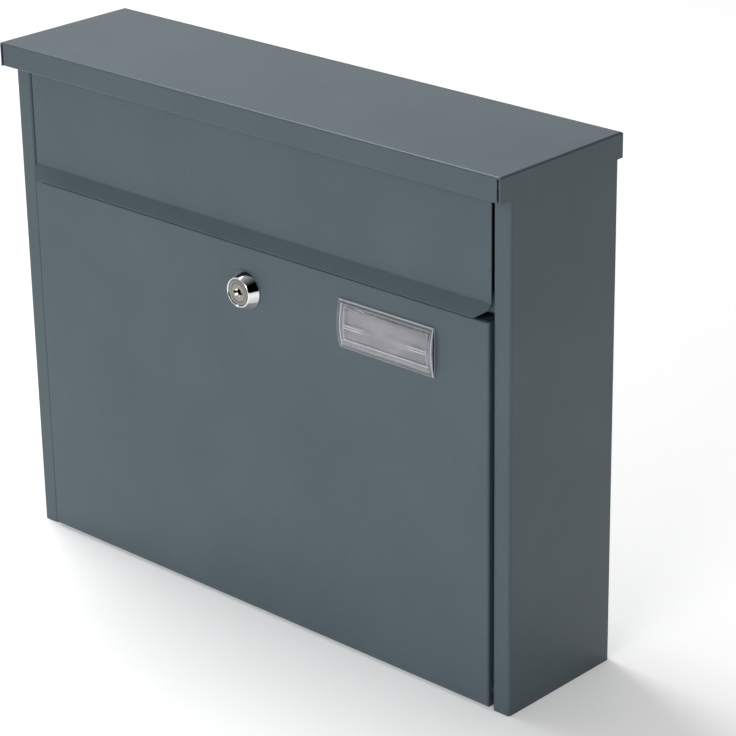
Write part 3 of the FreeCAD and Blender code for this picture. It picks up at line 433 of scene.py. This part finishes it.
def turned(name, *shells, wrap=True):
    """Shells turned about lines along Y, joined with quads.

    A shell is its centre and its radius and y, both arrays of (ring, angle). A point at angle t is
    (radius cos t, y, radius sin t) from the centre. With wrap, the last ring joins the first, as on a
    tube bent into a loop. Without it, the first and last rings have shrunk to points.
    """
    points, quads, first = [], [], 0
    for centre, radius, y in shells:
        angle = angles(radius.shape[1])
        x = centre.x + radius * np.cos(angle)
        z = centre.z + radius * np.sin(angle)
        points.append(np.stack([x, y, z], axis=-1).reshape(-1, 3))
        index = first + np.arange(radius.size).reshape(radius.shape)
        following = np.roll(index, -1, axis=0)
        if not wrap:
            index, following = index[:-1], following[:-1]
        corners = [index, np.roll(index, -1, axis=1), np.roll(following, -1, axis=1), following]
        quads.append(np.stack(corners, axis=-1).reshape(-1, 4))
        first += radius.size
    mesh = bpy.data.meshes.new(name)
    mesh.from_pydata(np.concatenate(points), [], np.concatenate(quads).tolist())
    return shown(name, mesh)


def angles(count):
    return np.linspace(0, 2 * np.pi, count, endpoint=False)


def carried(outline, count):
    """Radius and y of an outline, the same at each of count angles."""
    return [np.repeat(outline[:, k, None], count, axis=1) for k in (0, 1)]


CORNER_STEPS = 5


def rounded(*corners):
    """Outline through corners of (radius, y, rounding), each replaced by an arc tangent to its sides.

    The arc starts and ends at its rounding times the tangent of half the turn from the corner. The
    first and last corners, and those without a rounding, stay as they are.
    """
    points = np.array([corner[:2] for corner in corners])
    outline = [points[:1]]
    for k in range(1, len(corners) - 1):
        before, corner, after = points[k - 1:k + 2]
        rounding = corners[k][2]
        u = (before - corner) / np.linalg.norm(before - corner)
        v = (after - corner) / np.linalg.norm(after - corner)
        half = math.acos(np.clip(u @ v, -1, 1)) / 2
        if rounding == 0:
            outline.append(corner[None])
            continue
        centre = corner + (u + v) / np.linalg.norm(u + v) * rounding / math.sin(half)
        start = corner + u * rounding / math.tan(half) - centre
        end = corner + v * rounding / math.tan(half) - centre
        share = np.linspace(0, 1, CORNER_STEPS + 1)[:, None]
        turn = math.pi - 2 * half
        arc = (np.sin((1 - share) * turn) * start + np.sin(share * turn) * end) / math.sin(turn)
        outline.append(centre + arc)
    outline.append(points[-1:])
    return np.concatenate(outline)


def middle(node):
    low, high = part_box(node)
    return (low + high) / 2


def settle(piece, body, finish, node):
    """Gives a new piece its finish and its body, and hides the CAD node that it stands for."""
    piece.data.materials.append(finish)
    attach(piece, body)
    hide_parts(node)


# ---------------------------------------------------------------- lock
LOCK_FIT = 0.1 * MM
COLLAR_WALL = 0.85 * MM
COLLAR_LIP = 0.45 * MM
COLLAR_CROWN = 0.06 * MM
COLLAR_SHOULDER = 0.35 * MM
COLLAR_RIM = 0.7 * MM
COLLAR_AROUND = 160
HEAD_THICKNESS = 1.2 * MM
BARREL_R = 7.3 * MM
BARREL_FLAT = 6.5 * MM
BARREL_GAP = 0.3 * MM  # between the barrel's end and the stop plate
BARREL_AROUND = 144
BORE_R = 5.58 * MM
BORE_EDGE = 0.1 * MM
NOSE_RIM = (0.35 * MM, 0.75 * MM, 0.95 * MM)  # start and end of the rim's face and foot of its slope
NOSE_GROOVE = 0.5 * MM
NOSE_EDGE = (0.3 * MM, 0.15 * MM)  # width and depth of the barrel's front chamfer
THREAD_PITCH = 1.0 * MM
THREAD_DEPTH = 0.45 * MM
THREAD_START = 0.5 * MM
THREAD_ROWS = 112
LUG_R = 5.7 * MM
LUG_START = math.radians(152.0)
LUG_TURN = math.radians(206.0)


def lock_collar():
    """Cone ring: the closed outline of its cross-section carried round the lock's axis."""
    low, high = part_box("lock_collar")
    head_low, head_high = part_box("lock_housing")
    front, foot = low.y, high.y
    foot_r = (high.x - low.x) / 2
    head_r = (head_high.x - head_low.x) / 2 + LOCK_FIT
    bore_r = BARREL_R + LOCK_FIT
    head_y = foot - HEAD_THICKNESS - LOCK_FIT
    outline = rounded(
        (bore_r, (front + head_y) / 2, 0),
        (bore_r, front + COLLAR_LIP, 0.1 * MM),
        (bore_r + COLLAR_WALL * 0.3, front + COLLAR_CROWN, 0.15 * MM),
        (bore_r + COLLAR_WALL * 0.6, front, 0.3 * MM),
        (bore_r + COLLAR_WALL, front + COLLAR_SHOULDER, 0.15 * MM),
        (foot_r, foot - COLLAR_RIM, 0.35 * MM),
        (foot_r, foot, 0.12 * MM),
        (head_r, foot, 0.1 * MM),
        (head_r, head_y, 0),
        (bore_r, head_y, 0),
    )
    radius, y = carried(outline, COLLAR_AROUND)
    return turned("chrome_collar", (middle("lock_collar"), radius, y))


def lock_housing():
    """Threaded barrel: a turned outline whose radius dips along a helix and is cut by two flats.

    The thread is a triangle wave of y minus pitch times the turn, and the flats cap the radius at their
    distance over the cosine of the angle. At the back, a stop lug stands on part of the turn.
    """
    low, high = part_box("lock_housing")
    head_r = (high.x - low.x) / 2
    nose = low.y
    door_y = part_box("lock_collar")[1].y
    barrel_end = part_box("cam_stop_plate")[0].y - BARREL_GAP
    rim_start, rim_end, rim_foot = (BORE_R + step for step in NOSE_RIM)
    edge_width, edge_depth = NOSE_EDGE
    thread = np.linspace(door_y, barrel_end, THREAD_ROWS)[1:]
    outline = np.concatenate([
        rounded(
            (BORE_R, barrel_end, 0),
            (BORE_R, nose + BORE_EDGE, 0.05 * MM),
            (rim_start, nose, 0.1 * MM),
            (rim_end, nose, 0.1 * MM),
            (rim_foot, nose + NOSE_GROOVE, 0.1 * MM),
            (BARREL_R - edge_width, nose + NOSE_GROOVE, 0.1 * MM),
            (BARREL_R, nose + edge_depth, 0),
            (BARREL_R, door_y - HEAD_THICKNESS, 0),
            (head_r, door_y - HEAD_THICKNESS, 0.2 * MM),
            (head_r, door_y, 0.1 * MM),
            (BARREL_R, door_y, 0),
        ),
        np.stack([np.full_like(thread, BARREL_R), thread], axis=-1),
        [(BARREL_R, high.y), (LUG_R, high.y), (LUG_R, barrel_end)],
    ])
    radius, y = carried(outline, BARREL_AROUND)
    angle = angles(BARREL_AROUND)
    wave = np.abs((y / THREAD_PITCH - angle / (2 * np.pi)) % 1 - 0.5) * 2
    threaded = (radius > LUG_R) & (y > door_y + THREAD_START) & (y < barrel_end)
    radius = radius - threaded * wave * THREAD_DEPTH
    flattened = (radius > LUG_R) & (y > door_y + TINY)
    flats = BARREL_FLAT / np.maximum(np.abs(np.cos(angle)), TINY)
    radius = np.where(flattened, np.minimum(radius, flats), radius)
    has_lug = (angle - LUG_START) % (2 * np.pi) < LUG_TURN
    y = np.where((y > barrel_end) & ~has_lug, barrel_end, y)
    return turned("threaded_barrel", (middle("lock_collar"), radius, y))


KEY_HOLE_R = 1.55 * MM
KEY_SLOT_REACH = 3.5 * MM
KEY_SLOT_HALF = 0.6 * MM
KEY_DEPTH = 12.0 * MM
THROAT_R = 2.6 * MM
THROAT_DEPTH = 0.9 * MM
THROAT_EDGE = 0.05 * MM  # least width of the throat outside the keyway
TANG_HALF = 3.0 * MM
SCREW_R = 1.95 * MM
SCREW_DEPTH = 6.0 * MM
PLUG_AROUND = 240
# radius and depth in mm: the groove round the face, then its rounded edge
FACE_OUTLINE = (
    (3.9, 0), (4.62, 0), (4.68, 0.063), (4.74, 0.22), (4.82, 0.22), (4.88, 0.063), (4.94, 0),
    (5.2, 0), (5.36, 0.047), (5.46, 0.189), (5.5, 0.409),
)


def lock_plug():
    """Turning core: rings that go round the face, down the keyway and back to a squared tang.

    Every ring is a radius as a function of the angle. The keyway's is the larger of a circle and a slot
    (reach over cosine, half width over sine), and the tang's is half its side over the larger of cosine
    and sine. The throat is a dish that deepens evenly from its rim to the keyway's circle.
    """
    low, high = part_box("lock_plug")
    face, tang_end = low.y, high.y
    plug_r = (high.x - low.x) / 2
    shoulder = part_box("cam_stop_plate")[0].y
    angle = angles(PLUG_AROUND)
    across = np.maximum(np.abs(np.cos(angle)), TINY)
    along = np.maximum(np.abs(np.sin(angle)), TINY)
    slot = np.minimum(KEY_SLOT_REACH / across, KEY_SLOT_HALF / along)
    keyway = np.maximum(slot, KEY_HOLE_R)
    tang = TANG_HALF / np.maximum(across, along)

    def dish(radius):
        depth = (THROAT_R - radius) / (THROAT_R - KEY_HOLE_R) * THROAT_DEPTH
        return face + np.clip(depth, 0, THROAT_DEPTH)

    throat = [keyway + (np.maximum(THROAT_R, keyway + THROAT_EDGE) - keyway) * share
              for share in (0, 0.25, 0.5, 0.75, 1)]
    rows = [(0, face + KEY_DEPTH), (keyway, face + KEY_DEPTH)]
    rows += [(radius, dish(radius)) for radius in throat]
    rows += [(radius * MM, face + depth * MM) for radius, depth in FACE_OUTLINE]
    rows += [(plug_r, shoulder), (tang, shoulder), (tang, tang_end), (SCREW_R, tang_end)]
    rows += [(SCREW_R, tang_end - SCREW_DEPTH), (0, tang_end - SCREW_DEPTH)]
    radius, y = (np.array([row[k] + 0 * angle for row in rows]) for k in (0, 1))
    return turned("lock_core_face", (middle("lock_collar"), radius, y), wrap=False)


# ---------------------------------------------------------------- name plate
COVER_EDGE = 0.6 * MM
COVER_BULGE = 2.0 * MM
COVER_BEVEL = 0.45 * MM
POCKET_DEPTH = 0.45 * MM
POCKET_MARGIN = 2.2 * MM
WINDOW_STEP = 0.4 * MM
WINDOW_SLOPE = 0.35 * MM
WINDOW_LEFT = 5.2 * MM
WINDOW_RIGHT = 2.7 * MM
WINDOW_TOP = 3.0 * MM
WINDOW_FOOT = 5.8 * MM
END_RIDGE = 2.6 * MM
LOWER_RIDGE = 3.3 * MM
RIDGE_HALF = 0.26 * MM
RIDGE_RISE = 0.10 * MM
RIB_LENGTH = 19.0 * MM
RIB_TAPER = 9.0 * MM
RIB_APART = 0.72 * MM
# painted light on the clear cover, for each line its strength and half width: painted highlights (the
# _LINE values), then painted dark reflections (the _SHADE values)
RIM_LINE = (0.95, 0.55 * MM)
UPPER_LINE = (0.6, 0.4 * MM)
END_LINE = (1.0, 0.6 * MM)
LEFT_LINE = (1.0, 0.55 * MM)
RIGHT_LINE = (0.55, 0.4 * MM)
FOOT_LINE = (1.0, 0.6 * MM)
LOWER_LINE = (0.35, 0.3 * MM)
UPPER_SHADE = (0.85, 0.4 * MM)
LOWER_SHADE = (0.35, 0.4 * MM)
# strength of the painted highlight along the ribs
RIB_HIGHLIGHT = 0.9
BAND_PAINTED_LIGHT = 0.24  # painted lighter grey on the band between the rim and the window
# painted shade on that band
BAND_SHADE = 0.10
GRID_STEPS = (1.5 * MM, 0.9 * MM)
CLOSE_LINES = 15
CLOSE_REACH = 0.7 * MM


def slope(distance, width):
    """0 at the start, 1 from width on, straight between."""
    return np.clip(distance / width, 0, 1)


def ridge(distance):
    """A round-backed ridge: the square root of one minus the squared share of its half width."""
    return np.sqrt(np.clip(1 - (distance / RIDGE_HALF) ** 2, 0, 1))


def line(distance, strength, half_width):
    """The strength on a line, falling to 0 at its half width."""
    return strength * (1 - slope(np.abs(distance), half_width))


def grid_lines(length, special, step):
    """Even grid lines with closer ones round each special place."""
    lines = [np.linspace(0, length, int(length / step) + 1)]
    for place in special:
        lines.append(np.linspace(place - CLOSE_REACH, place + CLOSE_REACH, CLOSE_LINES))
    return np.unique(np.round(np.clip(np.concatenate(lines), 0, length), 6))


def slab(name, across, upright, front, back, centre, painted_light):
    """A closed plate from two heights over one grid, its front and back joined round the border.

    x and z are the grid lines about the centre, and y is the front or back height. painted_light is the
    pair of amount and tone of painted light at each point of the front, kept as a map.
    """
    x = centre.x + across - across[-1] / 2
    z = centre.z + upright - upright[-1] / 2
    x, z = np.meshgrid(x, z, indexing="ij")
    points = np.concatenate([np.stack([x, y, z], axis=-1).reshape(-1, 3) for y in (front, back)])
    index = np.arange(x.size).reshape(x.shape)
    corners = [index[:-1, :-1], index[1:, :-1], index[1:, 1:], index[:-1, 1:]]
    face = np.stack(corners, axis=-1).reshape(-1, 4)
    border = np.concatenate([index[:, 0], index[-1, 1:], index[-2::-1, -1], index[0, -2:0:-1]])
    ahead = np.roll(border, -1)
    wall = np.stack([border, border + x.size, ahead + x.size, ahead], axis=-1)
    quads = np.concatenate([face, face[:, ::-1] + x.size, wall])
    mesh = bpy.data.meshes.new(name)
    mesh.from_pydata(points, [], quads.tolist())
    drawn = np.stack([part.ravel() for part in painted_light], axis=-1)
    drawn = np.concatenate([drawn, 0 * drawn])
    mesh.uv_layers.new(name=PAINTED_LIGHT_MAP).data.foreach_set("uv", drawn[quads.ravel()].ravel())
    return shown(name, mesh)


def clear_cover():
    """Clear cover: bulged at mid height, with a bevelled rim, a raised window, ridges and twin ribs.

    The front height is an edge height plus a parabola over the height, plus slopes and ridges of the
    distances to the rim, to the window's edges and to the ribs. The back has a flat pocket. The painted
    light is the strongest of the painted highlight and painted dark lines along those edges.
    """
    low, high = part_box("nameplate_cover")
    width, height = high.x - low.x, high.z - low.z
    window_end, window_top = width - WINDOW_RIGHT, height - WINDOW_TOP
    rib_low, rib_high = height / 2 - RIB_APART, height / 2 + RIB_APART
    places_u = (0, COVER_BEVEL, POCKET_MARGIN, END_RIDGE, WINDOW_LEFT, window_end,
                width - POCKET_MARGIN, width)
    places_v = (0, COVER_BEVEL, POCKET_MARGIN, LOWER_RIDGE, WINDOW_FOOT, rib_low, rib_high, window_top,
                height - POCKET_MARGIN, height)
    across = grid_lines(width, places_u, GRID_STEPS[0])
    upright = grid_lines(height, places_v, GRID_STEPS[1])
    u, v = np.meshgrid(across, upright, indexing="ij")
    rim = np.minimum(np.minimum(u, width - u), np.minimum(v, height - v))
    from_end = np.minimum(u - WINDOW_LEFT, window_end - u)
    inside = np.minimum(from_end, np.minimum(v - WINDOW_FOOT, window_top - v))

    rib_fade = slope(from_end, 0.4 * MM) * slope(RIB_LENGTH - from_end, RIB_TAPER)
    ribs = np.maximum(ridge(v - rib_low), ridge(v - rib_high)) * rib_fade
    end_ridge = ridge(u - END_RIDGE) * slope(rim - COVER_BEVEL, 0.5 * MM)
    lower_ridge = ridge(v - LOWER_RIDGE) * slope(u - WINDOW_LEFT, 1 * MM)
    lower_ridge *= slope(width - u - COVER_BEVEL, 1 * MM)
    bulge = COVER_EDGE + COVER_BULGE * (1 - (2 * v / height - 1) ** 2)
    bevel = COVER_BEVEL * (slope(rim, COVER_BEVEL) - 1)
    window = WINDOW_STEP * slope(inside + WINDOW_SLOPE, WINDOW_SLOPE)
    ridges = RIDGE_RISE * (ribs + end_ridge * 0.8 + lower_ridge * 0.5)
    front = high.y - bulge - bevel - window - ridges
    back = high.y - POCKET_DEPTH * slope(rim - POCKET_MARGIN, 0.05 * MM)

    along = slope(from_end + 1 * MM, 1 * MM)
    beside = slope(inside + 0.5 * MM, 0.5 * MM)
    band = 1 - slope(inside + 1.1 * MM, 0.6 * MM)
    # painted highlights along the rim, the window's edges, the ridges and the ribs
    painted_highlights = np.max([
        line(rim - 0.25 * MM, *RIM_LINE),
        BAND_PAINTED_LIGHT * band,
        line(window_top + 0.9 * MM - v, *UPPER_LINE) * slope(rim - 0.5 * MM, 0.5 * MM),
        line(u - END_RIDGE, *END_LINE) * slope(rim - 1 * MM, 1 * MM),
        line(u - WINDOW_LEFT, *LEFT_LINE) * beside,
        line(window_end - u, *RIGHT_LINE) * beside,
        line(v - WINDOW_FOOT, *FOOT_LINE) * along,
        line(v - LOWER_RIDGE, *LOWER_LINE) * along,
        RIB_HIGHLIGHT * ribs,
    ], axis=0)
    # painted dark reflections along the window's top and under the lower ridge, and painted shade on the
    # band
    dark = np.max([
        line(window_top - v, *UPPER_SHADE) * along * slope(u - WINDOW_LEFT, 0.5 * width),
        line(v - LOWER_RIDGE - 0.7 * MM, *LOWER_SHADE) * along,
        BAND_SHADE * band,
    ], axis=0)
    painted_light = (np.maximum(painted_highlights, dark), painted_highlights / np.maximum(painted_highlights + dark, 0.001))
    return slab("clear_nameplate_cover", across, upright, front, back, (low + high) / 2, painted_light)


CARD_WAVE = 0.06 * MM
CARD_GRID = (49, 13)


def silver_card():
    """Card: a thin sheet with one slow wave along its length."""
    low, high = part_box("name_card")
    width, height = high.x - low.x, high.z - low.z
    across, upright = np.linspace(0, width, CARD_GRID[0]), np.linspace(0, height, CARD_GRID[1])
    u = np.meshgrid(across, upright, indexing="ij")[0]
    lift = CARD_WAVE * np.sin(np.pi * u / width)
    front, back = low.y - lift, high.y - lift
    return slab("silver_name_card", across, upright, front, back, (low + high) / 2, (0 * u, 0 * u))


# ---------------------------------------------------------------- buffers
DOME_SHARE = 0.55  # of the button's height
DOME_STEPS = 16
BUTTON_AROUND = 48


def rubber_buttons(name, node):
    """Domed buttons: an ellipse quarter carried round, one button at each end of the node's box."""
    low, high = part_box(node)
    button_r = (high.z - low.z) / 2
    share = np.linspace(0, np.pi / 2, DOME_STEPS)
    dome_y = low.y + (high.y - low.y) * DOME_SHARE * (1 - np.cos(share))
    dome = np.stack([button_r * np.sin(share), dome_y], axis=-1)
    outline = np.concatenate([dome, [(button_r, high.y), (0, high.y)]])
    radius, y = carried(outline, BUTTON_AROUND)
    centres = (Vector((x, 0, (low.z + high.z) / 2)) for x in (low.x + button_r, high.x - button_r))
    return turned(name, *((centre, radius, y) for centre in centres), wrap=False)


# ---------------------------------------------------------------- putting it together
def main():
    bpy.context.scene.view_settings.view_transform = "Standard"
    make_camera()
    make_sky()
    make_floor()
    for lamp in LAMPS:
        make_lamp(*lamp)
    finishes = {
        "painted_steel": powder_coat(),
        "chrome": chrome(),
        "satin_nickel": satin_nickel(),
        "zinc_steel": zinc(),
        "brass": brass(),
        "rubber": rubber(),
        "nylon": nylon(),
        "clear_plastic": clear_plastic(),
        "grey_plastic": grey_plastic(),
        "card": foil_card(),
    }
    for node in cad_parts.values():
        for holder in node.material_slots:
            holder.material = finishes[holder.material.name.split(".")[0]]
    new_pieces = (
        (lock_collar(), "door", "chrome", "lock_collar"),
        (lock_housing(), "door", "satin_nickel", "lock_housing"),
        (lock_plug(), "lock_core", "satin_nickel", "lock_plug"),
        (clear_cover(), "door", "clear_plastic", "nameplate_cover"),
        (silver_card(), "door", "card", "name_card"),
        (rubber_buttons("flap_rubber_buttons", "flap_buffers"), "case", "rubber", "flap_buffers"),
        (rubber_buttons("door_rubber_buttons", "door_buffers"), "case", "rubber", "door_buffers"),
    )
    for piece, body, slot, node in new_pieces:
        settle(piece, body, finishes[slot], node)


main()
